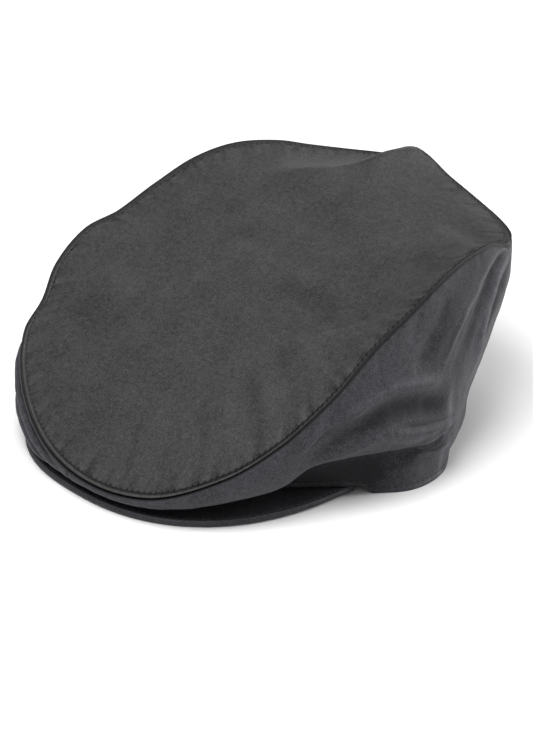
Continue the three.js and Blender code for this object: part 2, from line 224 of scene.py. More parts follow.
# Folds of the top panel: height, half width to the left and right of the path, sharpness, and the
# path's plan points.
TOP_FOLDS = [
    (3.4, 16, 5, 0.3, [
        (-15, 128), (-17, 108), (-18, 98), (-21, 89), (-29, 81), (-35, 71), (-46, 61), (-62, 48),
    ]),
    (3.2, 14, 6, 0.3, [(-15, 135), (-17, 108), (-18, 98), (-22, 87), (-30, 78)]),
    (-1.5, 9, 9, 0, [(-38, 110), (-44, 92), (-56, 78), (-68, 66)]),
    (1.6, 6.0, 6.0, 0, [(-40, -2), (-4, -4), (21, -4), (34, -6)]),
    (-2.1, 5.0, 5.0, 0.1, [(4, -10), (31, -10), (46, -14), (56, -24)]),
    (1.1, 4.0, 4.0, 0.2, [(44, -32), (60, -38), (84, -46)]),
    (-1.1, 3.0, 3.0, 0.2, [(42, -42), (60, -52), (84, -64)]),
    (1.0, 3.0, 3.0, 0.2, [(40, -50), (60, -64), (76, -74)]),
    (-1.3, 3.0, 3.0, 0.2, [(44, -62), (55, -68), (71, -79), (82, -86)]),
    (0.8, 3.0, 3.0, 0.2, [(40, -70), (56, -82), (68, -92)]),
    (-0.8, 3.0, 3.0, 0.2, [(34, -78), (48, -92), (58, -102)]),
    (-1.3, 2.4, 2.4, 0.3, [(18, -104), (24, -115), (31, -121)]),
    (-2.1, 9.0, 9.0, 0, [(-78, -64), (-66, -66), (-48, -72), (-36, -74)]),
    (1.4, 7.0, 7.0, 0, [(-84, -46), (-66, -50), (-44, -54)]),
    (-1.4, 6.0, 6.0, 0, [(22, 82), (50, 75), (73, 66), (86, 60)]),
    (1.4, 6.0, 6.0, 0, [(34, 62), (58, 58), (78, 50), (90, 44)]),
    (-1.3, 5.0, 5.0, 0, [(50, 36), (70, 30), (88, 26)]),
    (-1.4, 1.5, 1.5, 0.8, [(57, -24), (59, -23), (66, -19), (72, -12), (74, -10)]),
    (0.8, 1.6, 1.6, 0.6, [(56, -28), (60, -26), (68, -21), (75, -14)]),
]

# Painted highlight and shade: where the cloth is painted paler, or darker if the amount is below 0,
# for the light on the crest and its far slope and the light and shade on the side panels' folds:
# rows like those of the folds, with an amount for the height. The side panels' paths have points of
# angle and distance below the seam.
TOP_PAINTED_HIGHLIGHTS = [
    (3.4, 1.1, 1.8, 0.3, [(-12, 136), (-17, 108), (-18, 98), (-21, 89), (-29, 81), (-37, 69), (-50, 57)]),
    (2.0, 4.0, 14.0, 0, [(-20, 150), (-24, 112), (-28, 98), (-38, 84), (-54, 66), (-72, 48)]),
    (0.7, 9.0, 3.0, 0, [(-6, 136), (-9, 108), (-10, 96), (-16, 84), (-26, 72), (-40, 58)]),
]
LEFT_PAINTED_SHADING = [
    (2.2, 0.9, 1.1, 0.4, [(145, -11), (130, 0), (117, 10.5), (108.5, 19), (102, 24), (96, 32), (90, 41)]),
    (2.6, 1.7, 1.7, 0.1, [(141, -17), (130, 2), (121, 17), (115, 30), (110, 42), (108, 54), (103, 70)]),
    (-1.2, 2.4, 2.4, 0.1, [(138, -10), (126, 6), (117, 20), (108, 33), (101, 44), (96, 54)]),
    (-1.3, 2.2, 2.2, 0, [(146, -14), (135, 3), (126.5, 19), (121, 34), (116, 50)]),
    (-1.4, 4.4, 3.4, 0, [(97, 59), (90, 52), (84, 44), (76, 35), (65, 25)]),
    (0.6, 1.2, 1.2, 0.3, [(90, 37), (84, 31), (78, 24.5), (72, 20), (66, 16)]),
    (-0.9, 9.0, 9.0, 0, [(122, -4), (106, 10), (92, 24), (84, 34)]),
    (1.0, 1.3, 1.0, 0.3, [(98, 76), (90, 66), (80, 55), (72, 44)]),
    (2.6, 2.2, 1.8, 0.1, [(97, 44), (94.5, 66), (95.5, 80), (95.5, 90), (92, 114)]),
    (-2.8, 9.0, 8.0, 0, [(81, 88), (74, 80), (70, 75), (66, 69), (61, 62), (56, 56), (44, 42)]),
]

# Folds of the side panels: rows like those of the top panel's folds, with path points of angle
# and distance below the seam.
LEFT_FOLDS = [
    (2.8, 2.4, 2.4, 0.5, [(140, -16), (131, 0), (122, 17), (115.5, 30), (111, 39), (109.5, 50), (105, 66)]),
    (-3.2, 3.2, 3.2, 0.2, [(143, -13), (135, 2), (127.5, 17), (123.5, 26), (120, 38), (116, 54)]),
    (1.5, 1.8, 1.8, 0.6, [
        (145, -11), (130, 0), (117, 10.5), (108.5, 19), (102, 24), (98, 29), (94, 34), (90, 41),
    ]),
    (-1.5, 3.4, 3.4, 0.2, [(138, -14), (128, 0), (123.5, 7), (115, 22), (105, 33), (98, 40), (92, 49)]),
    (0.9, 2.6, 2.6, 0.2, [(106, 20), (98, 23.5), (93.5, 25), (89, 28)]),
    (-1.2, 4.0, 4.0, 0, [(100, 10), (92, 18), (88, 21), (82, 28)]),
    (2.0, 3.2, 3.2, 0.3, [(94, 42), (87, 37), (81, 29.5), (76, 24.5), (69.5, 20), (64, 15), (58, 10)]),
    (-3.6, 5.0, 5.0, 0.1, [(94, 55), (88, 48), (83, 42), (76, 34), (65, 25), (50, 14)]),
    (2.0, 4.5, 3.0, 0.3, [(102, 68), (87.5, 59.5), (77.5, 47), (70.5, 38), (62, 29), (52, 20)]),
    (-2.2, 1.4, 1.8, 0.7, [(97, 65), (92, 61), (86, 55), (76, 43)]),
    (1.2, 1.0, 1.6, 0.7, [(98, 68), (90, 66), (82, 60)]),
    (-1.4, 1.0, 1.4, 0.7, [(98, 69), (89, 70), (82, 69)]),
    (1.0, 1.4, 1.4, 0.5, [(95, 69), (91, 73), (88, 78)]),
    (-1.3, 1.8, 1.8, 0.4, [(95, 69), (93.5, 75), (92, 82)]),
    (2.4, 8.0, 6.0, 0, [(78, 86), (88, 83), (97, 84), (106, 86), (122, 86)]),
    (1.2, 2.0, 2.0, 0.3, [(70, 21), (62.5, 13.5), (56.5, 8.5), (53, 10.5), (50.5, 14)]),
    (-0.9, 2.0, 2.0, 0.2, [(64, 14), (60, 12.5), (57, 11.5), (54, 14)]),
    (-0.5, 2.4, 2.4, 0.2, [(74, 2), (73, 8), (71, 14)]),
    (0.4, 2.6, 2.6, 0.2, [(81, 2), (80, 9), (77, 16)]),
    (-0.4, 2.4, 2.4, 0.2, [(88, 2), (86, 8), (83, 13)]),
    (1.6, 5.0, 5.0, 0, [(150, 8), (146, 30), (142, 58)]),
    (-1.8, 6.0, 6.0, 0, [(164, 6), (160, 32), (158, 64)]),
]
RIGHT_FOLDS = [
    (-1.8, 1.2, 1.2, 0.5, [(-48, 5), (-32, 4.5), (-18, 4), (0, 3.5)]),
    (1.4, 1.3, 1.3, 0.4, [(-48, 8.5), (-32, 8), (-18, 7), (0, 5.5)]),
    (-1.8, 1.3, 1.3, 0.5, [(-48, 13), (-32, 12), (-18, 10), (0, 7.5)]),
    (1.4, 1.5, 1.5, 0.4, [(-48, 17), (-32, 15.5), (-18, 13), (-6, 10)]),
    (1.4, 4.0, 4.0, 0.1, [(-66, 4), (-74, 26), (-80, 50)]),
    (-1.8, 4.5, 4.5, 0.1, [(-86, 8), (-94, 32), (-98, 56)]),
    (1.8, 3.4, 3.4, 0.3, [(-110, 2), (-108, 24), (-102, 46), (-96, 62)]),
    (-1.6, 5.0, 5.0, 0, [(-122, 10), (-118, 36), (-112, 60)]),
    (1.4, 5.0, 5.0, 0, [(-138, 8), (-136, 34), (-132, 60)]),
    (-1.6, 6.0, 6.0, 0, [(-160, 8), (-158, 36), (-154, 62)]),
]
# Painted shading along the creases at the right front: darker in them, paler between.
RIGHT_PAINTED_SHADING = [
    (-2.0, 0.9, 0.9, 0.4, [(-50, 5), (-32, 4.5), (-18, 4), (0, 3.5)]),
    (2.0, 0.9, 0.9, 0.3, [(-50, 8.5), (-32, 8), (-18, 7), (0, 5.5)]),
    (-2.2, 1.0, 1.0, 0.4, [(-50, 13), (-32, 12), (-18, 10), (0, 7.5)]),
    (1.6, 1.0, 1.0, 0.3, [(-50, 17), (-32, 15.5), (-18, 13), (-6, 10)]),
]


def smooth_step(low, high, value):
    t = np.clip((value - low) / (high - low), 0, 1)
    return t * t * (3 - 2 * t)


def unit(vectors):
    return vectors / np.linalg.norm(vectors, axis=-1, keepdims=True)


def section_at(angle):
    """The named sizes of the cap's section at each angle: a smooth closed curve through the rows."""
    turned = np.asarray(angle, float) % 360
    count = len(SECTIONS)
    row = np.searchsorted(SECTIONS[:, 0], turned, side="right") - 1
    steps = (-1, 0, 1, 2)
    near = [SECTIONS[(row + step) % count] for step in steps]
    knots = [part[..., 0] + 360 * ((row + step) // count) for part, step in zip(near, steps)]
    span = knots[2] - knots[1]
    t = (turned - knots[1]) / span
    sizes = {}
    for column, name in enumerate(SECTION_COLUMNS[1:], start=1):
        a, b, c, d = [part[..., column] for part in near]
        slope_b = (c - a) / (knots[2] - knots[0]) * span
        slope_c = (d - b) / (knots[3] - knots[1]) * span
        bend = 2 * (b - c) + slope_b + slope_c
        turn = 3 * (c - b) - 2 * slope_b - slope_c
        sizes[name] = ((bend * t + turn) * t + slope_b) * t + b
    return sizes


def placed(angle, radius, height):
    turn = np.radians(angle)
    parts = np.broadcast_arrays(radius * np.sin(turn), -radius * np.cos(turn), height)
    return np.stack(parts, axis=-1)


def peak_tip_angle():
    return math.degrees(math.atan2(PEAK_HALF_WIDTH, -PEAK_TIP_Y))


def signed(angle):
    return (np.asarray(angle) + 180) % 360 - 180


def peak_underside(angle, across):
    share = np.minimum((signed(angle) / peak_tip_angle()) ** 2, 1)
    return PEAK_TIP_LIFT * share + PEAK_ROOT_LIFT * (1 - across) * (1 - share)


def hem_height(angle):
    tip = peak_tip_angle()
    on_peak = 1 - smooth_step(tip + HEM_STEP[0], tip + HEM_STEP[1], np.abs(signed(angle)))
    return on_peak * (peak_underside(angle, 0) + PEAK_THICKNESS + SEAM_GAP)


def along_polygon(corners, t):
    """A chain of quadratic curves that is tangent to each side of the polygon."""
    spans = len(corners) - 2
    span = np.minimum((t * spans).astype(int), spans - 1)
    s = (t * spans - span)[:, None]
    starts = [corners[0]] + [(corners[i] + corners[i + 1]) / 2 for i in range(1, spans)]
    ends = starts[1:] + [corners[-1]]
    start = np.stack(starts)[span]
    middle = np.stack(corners[1:-1])[span]
    end = np.stack(ends)[span]
    return (1 - s) ** 2 * start + 2 * s * (1 - s) * middle + s**2 * end


def side_profile(angle):
    """The side panels' outer face at one angle, as many points of radius and height."""
    at = section_at(angle)
    hem_z = float(hem_height(angle))
    corners = [
        (at["seam_r"], at["seam_z"]),
        (at["belly_r"], at["belly_z"]),
        (at["lip_r"], at["lip_z"]),
        (at["tuck_r"], at["tuck_z"]),
        (at["band_r"], max(at["band_z"], hem_z + LEAST_BAND)),
        (at["hem_r"], hem_z),
    ]
    return along_polygon([np.array(c, float) for c in corners], np.linspace(0, 1, PROFILE_POINTS))


def top_profile(angle):
    """The top panel's outer face at one angle, from the seam to the middle, as points."""
    out = 1 - np.linspace(0, 1, PROFILE_POINTS) ** CLOSER_AT_SEAM
    at = section_at(angle)
    seam = placed(angle, at["seam_r"], at["seam_z"])
    points = placed(angle, at["seam_r"] * out, 0.0)
    seam_drop = seam[2] - CROWN_HEIGHT - CROWN_SLOPE * seam[1]
    points[:, 2] = CROWN_HEIGHT + CROWN_SLOPE * points[:, 1] + seam_drop * out**CROWN_ROLL
    points[:, 2] += fold_relief(points[:, :2], TOP_FOLDS) * (1 - out**FOLDS_END_AT_SEAM)
    return points


def rows_along(points, sewn, plain):
    """The points of a profile at the sewn rows' distances from its start, then at even steps."""
    steps = np.linalg.norm(np.diff(points, axis=0), axis=1)
    length = np.concatenate([[0], np.cumsum(steps)])
    rest = np.linspace(sewn[-1], length[-1], plain + 1)[1:]
    wanted = np.concatenate([sewn, rest])
    return np.stack([np.interp(wanted, length, axis) for axis in points.T], axis=-1), wanted


def grid_normals(points, closed):
    """Unit normals of a grid of points, whose first direction may close on itself."""
    if closed:
        wrapped = np.concatenate([points[-1:], points, points[:1]])
        across = (wrapped[2:] - wrapped[:-2]) / 2
    else:
        across = np.gradient(points, axis=0)
    down = np.gradient(points, axis=1)
    return unit(np.cross(down, across) + 1e-12)


def path_distance(flat, path):
    """How far each flat point is to the left of a path, and how far along it, from 0 to 1."""
    path = np.array(path, float)
    steps = np.linalg.norm(np.diff(path, axis=0), axis=1)
    starts = np.concatenate([[0], np.cumsum(steps)])
    nearest = np.full(flat.shape[:-1], 1e9)
    turn = np.ones(flat.shape[:-1])
    share = np.zeros(flat.shape[:-1])
    for i, step in enumerate(steps):
        along = (path[i + 1] - path[i]) / step
        offset = flat - path[i]
        reach = np.clip(offset @ along, 0, step)
        distance = np.linalg.norm(offset - reach[..., None] * along, axis=-1)
        left = along[0] * offset[..., 1] - along[1] * offset[..., 0]
        closer = distance < nearest
        nearest = np.where(closer, distance, nearest)
        turn = np.where(closer, np.where(left < 0, -1, 1), turn)
        share = np.where(closer, (starts[i] + reach) / starts[-1], share)
    return nearest * turn, share


def fold_relief(flat, folds):
    """The summed relief of folds, each fading out at its ends."""
    relief = np.zeros(flat.shape[:-1])
    for height, left_width, right_width, sharpness, path in folds:
        distance, share = path_distance(flat, path)
        fade = smooth_step(0, FOLD_RISEN, share) * (1 - smooth_step(FOLD_FALLS, 1, share))
        spread = np.abs(distance) / np.where(distance < 0, right_width, left_width)
        crease = np.exp(CREASE_FALL * (CREASE_ROUND - np.hypot(spread, CREASE_ROUND)))
        profile = (1 - sharpness) * np.exp(-(spread**2)) + sharpness * crease
        relief += height * fade * profile
    return relief


def ripple(angle, pitch, seed):
    """An uneven wave round the cap, between about -1 and 1."""
    chance = np.random.default_rng(seed)
    total = np.zeros_like(angle)
    for stretch in (0.6, 0.85, 1.0, 1.3, 1.9):
        waves = round(2 * math.pi * CHART_RADIUS / (pitch * stretch))
        total += np.sin(np.radians(angle) * waves + chance.uniform(0, ROUND_TURN))
    return total / 3


def undulation(points, pitch, seed):
    """A soft uneven relief all over the cloth, between about -1 and 1."""
    chance = np.random.default_rng(seed)
    total = np.zeros(points.shape[:-1])
    for _ in range(UNDULATION_WAVES):
        direction = unit(chance.normal(size=3))
        scale = 2 * math.pi / (pitch * chance.uniform(0.7, 1.5))
        total += np.sin(points @ direction * scale + chance.uniform(0, ROUND_TURN))
    return total / (UNDULATION_WAVES / 2)


def unevenness(points, below, rows):
    """The soft relief of a panel's cloth, which fades out toward the seam."""
    total = np.zeros(below.shape)
    for height, pitch, seed, start, whole in rows:
        total += height * undulation(points, pitch, seed) * smooth_step(start, whole, below)
    return total


def bump_at(distance, middle, half_width):
    return np.exp(-(((distance - middle) / half_width) ** 2))


def ridges_along(distance, rows):
    """The summed heights, or amounts of wear, of ridges along an edge."""
    return sum(height * bump_at(distance, middle, half_width) for height, middle, half_width in rows)


class Builder:
    """Vertices and faces of one piece, with the patterns on its cloth that its finish reads.

    thread is a place along and across the weave; the second pattern is how pale the cloth is, partly worn
    and partly painted light and shade, how much shade is painted in a seam or groove, and how near a row of
    needle holes, whose darkness is painted shade; stitch is the count of stitches along that row.
    """

    PATTERNS = {"thread": 3, "wear": 3, "stitch": 1}

    def __init__(self):
        self.points = []
        self.faces = []
        self.patterns = {name: [] for name in self.PATTERNS}
        self.count = 0

    def add(self, points, **patterns):
        shape = points.shape[:-1]
        first = self.count
        self.points.append(points.reshape(-1, 3))
        for name, size in self.PATTERNS.items():
            values = np.asarray(patterns.get(name, np.zeros(size)), float)
            values = values[..., None] if values.shape == shape else values
            self.patterns[name].append(np.broadcast_to(values, shape + (size,)).reshape(-1, size))
        self.count += int(np.prod(shape))
        return first + np.arange(int(np.prod(shape))).reshape(shape)

    def quads(self, grid, closed=False, turned=False):
        if closed:
            grid = np.concatenate([grid, grid[:1]])
        corners = [grid[:-1, :-1], grid[:-1, 1:], grid[1:, 1:], grid[1:, :-1]]
        if turned:
            corners.reverse()
        self.faces.extend(np.stack([c.ravel() for c in corners], axis=-1).tolist())

    def piece(self, name, finish):
        mesh = bpy.data.meshes.new(name)
        points = (np.concatenate(self.points) + CENTRE) * MM
        mesh.from_pydata(points.tolist(), [], self.faces)
        for pattern, size in self.PATTERNS.items():
            layer = mesh.attributes.new(pattern, "FLOAT_VECTOR" if size == 3 else "FLOAT", "POINT")
            values = np.concatenate(self.patterns[pattern]).astype(np.float32).ravel()
            layer.data.foreach_set("vector" if size == 3 else "value", values)
        mesh.polygons.foreach_set("use_smooth", [True] * len(mesh.polygons))
        mesh.materials.append(finish)
        mesh.validate()
        made = bpy.data.objects.new(name, mesh)
        bpy.context.scene.collection.objects.link(made)
        return made


def seam_mitres(top_outer, side_outer):
    """At the crown's seam, the way into the cloth and the way toward the top panel."""
    into_top = unit(top_outer[:, TOP_LEAVING_ROW] - top_outer[:, 0])
    into_side = unit(side_outer[:, SIDE_LEAVING_ROW] - side_outer[:, 0])
    inwards = unit(into_top + into_side)
    to_top = unit(into_top - into_side)
    sine = np.sqrt(np.maximum(1 - np.sum(inwards * into_top, axis=-1) ** 2, 0.25))
    return inwards * (CLOTH / sine)[:, None], to_top


def side_grid(angles):
    grids = []
    lengths = []
    for angle in angles:
        profile, wanted = rows_along(side_profile(angle), SIDE_SEWN_ROWS, SIDE_PLAIN_ROWS)
        grids.append(placed(angle, profile[:, 0], profile[:, 1]))
        lengths.append(wanted)
    return np.stack(grids), np.stack(lengths)


def top_grid(angles):
    grids = []
    lengths = []
    for angle in angles:
        profile, wanted = rows_along(top_profile(angle), SEWN_ROWS, TOP_PLAIN_ROWS)
        grids.append(profile)
        lengths.append(wanted)
    return np.stack(grids), np.stack(lengths)


def seam_length(seam_points):
    steps = np.linalg.norm(np.diff(seam_points, axis=0), axis=1)
    return np.concatenate([[0], np.cumsum(steps)])


def stitch_count(line_length):
    """The stitches along each point of a row, of which a whole number fits the row."""
    return line_length / line_length.max() * round(line_length.max() / STITCH_PITCH)


def top_panel(finish):
    """The top panel, with its rolled and topstitched edge.

    Returns the piece, its stitch line and the cloth's normals along it.
    """
    angles = 180 + np.arange(TOP_SECTORS) * 360 / TOP_SECTORS
    outer, below = top_grid(angles)
    sides, _ = side_grid(angles)
    inwards, to_top = seam_mitres(outer, sides)
    normals = grid_normals(outer, closed=True)
    plan = outer[..., :2]
    soft = unevenness(outer, below, TOP_UNEVEN)
    soft_face = outer + normals * soft[..., None]

    past_stitch = np.maximum(below - TOPSTITCH_IN, 0)
    pucker = ripple(angles, PUCKER_PITCH, PUCKER_SEED)[:, None] * np.exp(-past_stitch / PUCKER_REACH)
    fine = FINE_PUCKER_SHARE * ripple(angles, FINE_PUCKER_PITCH, FINE_PUCKER_SEED)[:, None]
    pucker += fine * np.exp(-past_stitch / FINE_PUCKER_REACH)
    start, whole = TOPSTITCH_IN + PUCKER_START, TOPSTITCH_IN + PUCKER_WHOLE
    pucker = pucker * smooth_step(start, whole, below)
    strip = smooth_step(0, STRIP_RISEN, below) * (1 - smooth_step(STRIP_FALLS, TOPSTITCH_IN, below))
    roll = STRIP_HEIGHT * strip - SEAM_ROUND_DEPTH * bump_at(below, 0, SEAM_ROUND_WIDTH)
    groove = -GROOVE_DEPTH * bump_at(below, TOPSTITCH_IN, GROOVE_HALF_WIDTH)
    face = outer + normals * (soft + PUCKER_HEIGHT * pucker + roll + groove)[..., None]
    face[:, 0] += to_top * SEAM_GAP / 2

    # Paleness: worn cloth and painted highlight on the rolled strip, and painted shading over the puckers.
    rub_and_painted_light = ridges_along(below, STRIP_RUB_AND_HIGHLIGHT) + PUCKER_PAINTED_SHADING * pucker
    # Painted highlight on the crest at the back and on the slope behind it.
    rub_and_painted_light += fold_relief(plan, TOP_PAINTED_HIGHLIGHTS)
    # Painted shading on the folds: paler on ridges, partly worn cloth, darker in creases.
    rub_and_painted_light += TOP_FOLD_RUB_AND_SHADING * np.tanh(fold_relief(plan, TOP_FOLDS[DENT_FOLDS:]) / FOLD_RUB_AND_SHADING_LEVEL)
    # Painted shade in the seam and in the topstitching's groove.
    painted_recess_shade = ridges_along(below, TOP_PAINTED_SHADE)
    # Painted shade in the needle holes and the wedges behind them, strongest on the wearer's left.
    taut = LEAST_TAUT + MORE_TAUT * bump_at(signed(angles), TAUT_ANGLE, TAUT_HALF_WIDTH)[:, None]
    drawn = DRAWN_SHARE * np.exp(-past_stitch / DRAWN_REACH) * (past_stitch > DRAWN_START)
    holed = taut * bump_at(below, TOPSTITCH_IN, 0.75) + (taut - LEAST_TAUT) * drawn
    stitches = stitch_count(seam_length(face[:, TOPSTITCH_ROW]))[:, None]
    patterns = {
        "thread": np.concatenate([plan, below[..., None]], axis=-1),
        "wear": np.stack([rub_and_painted_light, painted_recess_shade, holed], axis=-1),
        "stitch": np.broadcast_to(stitches, below.shape),
    }
    build = Builder()
    to_middle = {name: values[:, :-1] for name, values in patterns.items()}
    face_grid = build.add(face[:, :-1], **to_middle)
    build.quads(face_grid, closed=True, turned=True)
    inner_rows = list(range(TOP_INNER_ROW, outer.shape[1] - 1, TOP_INNER_STEP))
    inner_points = soft_face[:, inner_rows].copy()
    inner_points[..., 2] -= CLOTH / np.maximum(np.abs(normals[:, inner_rows, 2]), 0.5)
    rim = (outer[:, 0] + inwards + to_top * SEAM_GAP / 2)[:, None]
    inner_grid = build.add(np.concatenate([rim, inner_points], axis=1))
    build.quads(inner_grid, closed=True)
    build.quads(np.stack([face_grid[:, 0], inner_grid[:, 0]], axis=1), closed=True)
    middle = outer[0, -1] + (0, 0, float(np.mean(soft[:, -1])))
    for grid, drop, turned in ((face_grid, 0.0, True), (inner_grid, CLOTH, False)):
        centre = int(build.add((middle - (0, 0, drop))[None])[0])
        last = [int(v) for v in grid[:, -1]]
        for a, b in zip(last, last[1:] + last[:1]):
            build.faces.append([a, b, centre] if turned else [b, a, centre])
    return build.piece("top_panel_cloth", finish), face[:, TOPSTITCH_ROW], normals[:, TOPSTITCH_ROW]


def side_panel(name, side, folds, painted_shading, finish):
    """One side panel, from the front seam to the back one.

    Returns the piece, the stitch line of its hem and the cloth's normals along it.
    """
    angles = side * np.linspace(0, 180, SIDE_COLUMNS + 1)
    outer, below = side_grid(angles)
    tops, _ = top_grid(angles)
    inwards, to_top = seam_mitres(tops, outer)
    normals = grid_normals(outer, closed=False) * side
    along = seam_length(outer[:, 0])[:, None]
    from_hem = below[:, -1:] - below
    chart = on_chart(angles[:, None], below)
    fold_heights = fold_relief(chart, charted(folds))
    soft = unevenness(outer, below, SIDE_UNEVEN) + fold_heights
    soft = soft * smooth_step(0, FOLDS_WHOLE_BELOW_SEAM, below)
    soft = soft * smooth_step(0, FOLDS_WHOLE_ABOVE_HEM, from_hem)
    soft_face = outer + normals * soft[..., None]

    pucker = ripple(angles, PUCKER_PITCH, PUCKER_SEED)[:, None] * np.exp(-below / SIDE_PUCKER_REACH)
    pucker = pucker * smooth_step(SIDE_PUCKER_START, SIDE_PUCKER_WHOLE, below)
    dip = ridges_along(below, SEAM_RIDGES)
    hem = ridges_along(from_hem, HEM_RIDGES)
    ends = np.minimum(along, along[-1] - along)
    joined = ridges_along(ends, END_RIDGES)
    face = outer + normals * (soft + SIDE_PUCKER_HEIGHT * pucker + dip + hem + joined)[..., None]
    face[:, 0] -= to_top * SEAM_GAP / 2
    face[..., 2] = np.maximum(face[..., 2], 0)

    # Paleness: worn cloth and painted highlight on the hem, and painted shading over the puckers.
    rub_and_painted_light = ridges_along(from_hem, HEM_RUB_AND_HIGHLIGHT) + SIDE_PUCKER_PAINTED_SHADING * pucker
    # Painted light on the band above the hem.
    rub_and_painted_light += ridges_along(from_hem, BAND_PAINTED_LIGHT)
    # Painted shading on the folds: paler on ridges, partly worn cloth, darker in creases.
    fold_rub_and_shading = SIDE_FOLD_RUB_AND_SHADING * np.tanh(fold_heights / FOLD_RUB_AND_SHADING_LEVEL)
    # Painted highlight and shade along the panel's folds and creases, and the folds' painted shading.
    rub_and_painted_light += fold_relief(chart, charted(painted_shading)) + fold_rub_and_shading
    # Painted shade along the seam's joint, widest at the panel's middle, and at the front and back seams.
    dark = SEAM_SHADE_LEAST + SEAM_SHADE_MORE * bump_at(angles, side * SEAM_SHADE_ANGLE, SEAM_SHADE_HALF_WIDTH)[:, None]
    painted_recess_shade = 1 - smooth_step(dark, dark + SEAM_SHADE_EDGE, below) + ridges_along(ends, END_PAINTED_SHADE)
    # Painted shade in the needle holes along the hem.
    holed = ridges_along(from_hem, HEM_HOLES)
    stitches = stitch_count(seam_length(face[:, -1]))[:, None]
    patterns = {
        "thread": np.concatenate([chart, below[..., None]], axis=-1),
        "wear": np.stack([rub_and_painted_light, painted_recess_shade, holed], axis=-1),
        "stitch": np.broadcast_to(stitches, below.shape),
    }
    build = Builder()
    face_grid = build.add(face, **patterns)
    build.quads(face_grid, turned=side > 0)
    inner_rows = list(range(SIDE_INNER_ROW, outer.shape[1] - 1, SIDE_INNER_STEP))
    inner_points = soft_face[:, inner_rows] - normals[:, inner_rows] * CLOTH
    rim = (outer[:, 0] + inwards - to_top * SEAM_GAP / 2)[:, None]
    foot = (outer[:, -1] - unit(outer[:, -1] * (1, 1, 0)) * CLOTH)[:, None]
    inner = np.concatenate([rim, inner_points, foot], axis=1)
    inner_grid = build.add(inner)
    build.quads(inner_grid, turned=side < 0)
    build.quads(np.stack([face_grid[:, 0], inner_grid[:, 0]], axis=1), turned=side < 0)
    build.quads(np.stack([face_grid[:, -1], inner_grid[:, -1]], axis=1), turned=side > 0)
    for column, turned in ((0, side > 0), (-1, side < 0)):
        end = build.add(np.concatenate([face[column], inner[column][::-1]]))
        build.faces.append([int(v) for v in (end[::-1] if turned else end)])
    rows = np.argmin(np.abs(from_hem - HEM_STITCH_UP), axis=1)
    columns = np.arange(len(angles))
    return build.piece(name, finish), face[columns, rows], normals[columns, rows]


def on_chart(angle, below):
    parts = np.broadcast_arrays(np.radians(angle) * CHART_RADIUS, below)
    return np.stack(parts, axis=-1)


def charted(folds):
    """Folds whose paths are turned from angles and distances into lengths on the chart."""
    return [fold[:4] + (on_chart(*np.array(fold[4], float).T),) for fold in folds]


def peak(finish):
    """The stiff peak: a cloth-covered board with a rolled edge.

    Returns the piece and the stitch line of its edge.
    """
    turn = math.pi * (np.arange(PEAK_STATIONS + 1) / PEAK_STATIONS - 0.5)
    power = 2 / PEAK_ROUNDNESS
    x = PEAK_HALF_WIDTH * np.sign(turn) * np.abs(np.sin(turn)) ** power
    y = PEAK_TIP_Y + (PEAK_FRONT_Y - PEAK_TIP_Y) * np.maximum(np.cos(turn), 0) ** power
    angle = np.degrees(np.arctan2(x, -y))
    outer_r = np.hypot(x, y)
    inner_r = section_at(angle)["hem_r"] - PEAK_INSET
    half = PEAK_THICKNESS / 2
    width = outer_r - inner_r
    insets = np.concatenate([np.linspace(1, 0.12, 22), np.linspace(0.1, 0, 8)])
    rim = math.pi * np.linspace(0.5, -0.5, 13)[1:-1]
    radii = []
    offsets = []
    for inset in insets:
        radii.append(outer_r - half - inset * (width - half))
        offsets.append(np.full_like(outer_r, half))
    for roll in rim:
        radii.append(outer_r - half + half * math.cos(roll))
        offsets.append(np.full_like(outer_r, half * math.sin(roll)))
    for inset in insets[::-1]:
        radii.append(outer_r - half - inset * (width - half))
        offsets.append(np.full_like(outer_r, -half))
    radius = np.stack(radii, axis=1)
    offset = np.stack(offsets, axis=1)
    across = (radius - inner_r[:, None]) / width[:, None]
    height = peak_underside(angle[:, None], across) + half + offset
    from_edge = outer_r[:, None] - radius
    groove = 0.3 * bump_at(from_edge, EDGE_STITCH_IN, 0.5) * np.sign(offset)
    height = height - groove
    points = placed(angle[:, None], radius, height)
    # Paleness: worn cloth and painted highlight on the rolled edge.
    rub_and_painted_light = ridges_along(from_edge, PEAK_EDGE_RUB_AND_HIGHLIGHT)
    # Painted shade in the edge stitching's groove.
    painted_recess_shade = ridges_along(from_edge, PEAK_EDGE_PAINTED_SHADE)
    # Painted shade in the needle holes along the edge stitching.
    holed = ridges_along(from_edge, PEAK_EDGE_HOLES)
    stitches = stitch_count(seam_length(points[:, len(insets)]))[:, None]
    build = Builder()
    grid = build.add(
        points,
        thread=np.stack([points[..., 0], points[..., 1], from_edge], axis=-1),
        wear=np.stack([rub_and_painted_light, painted_recess_shade, holed], axis=-1),
        stitch=np.broadcast_to(stitches, rub_and_painted_light.shape),
    )
    build.quads(np.concatenate([grid, grid[:, :1]], axis=1))
    for ring, turned in ((grid[0], False), (grid[-1], True)):
        order = ring[::-1] if turned else ring
        for k in range(1, len(order) - 1):
            build.faces.append([int(order[0]), int(order[k]), int(order[k + 1])])
    stitch_r = outer_r - EDGE_STITCH_IN
    stitch_across = (stitch_r - inner_r) / width
    stitch_z = peak_underside(angle, stitch_across) + PEAK_THICKNESS - EDGE_STITCH_SINK
    line = placed(angle, stitch_r, stitch_z)
    return build.piece("peak_cloth", finish), line


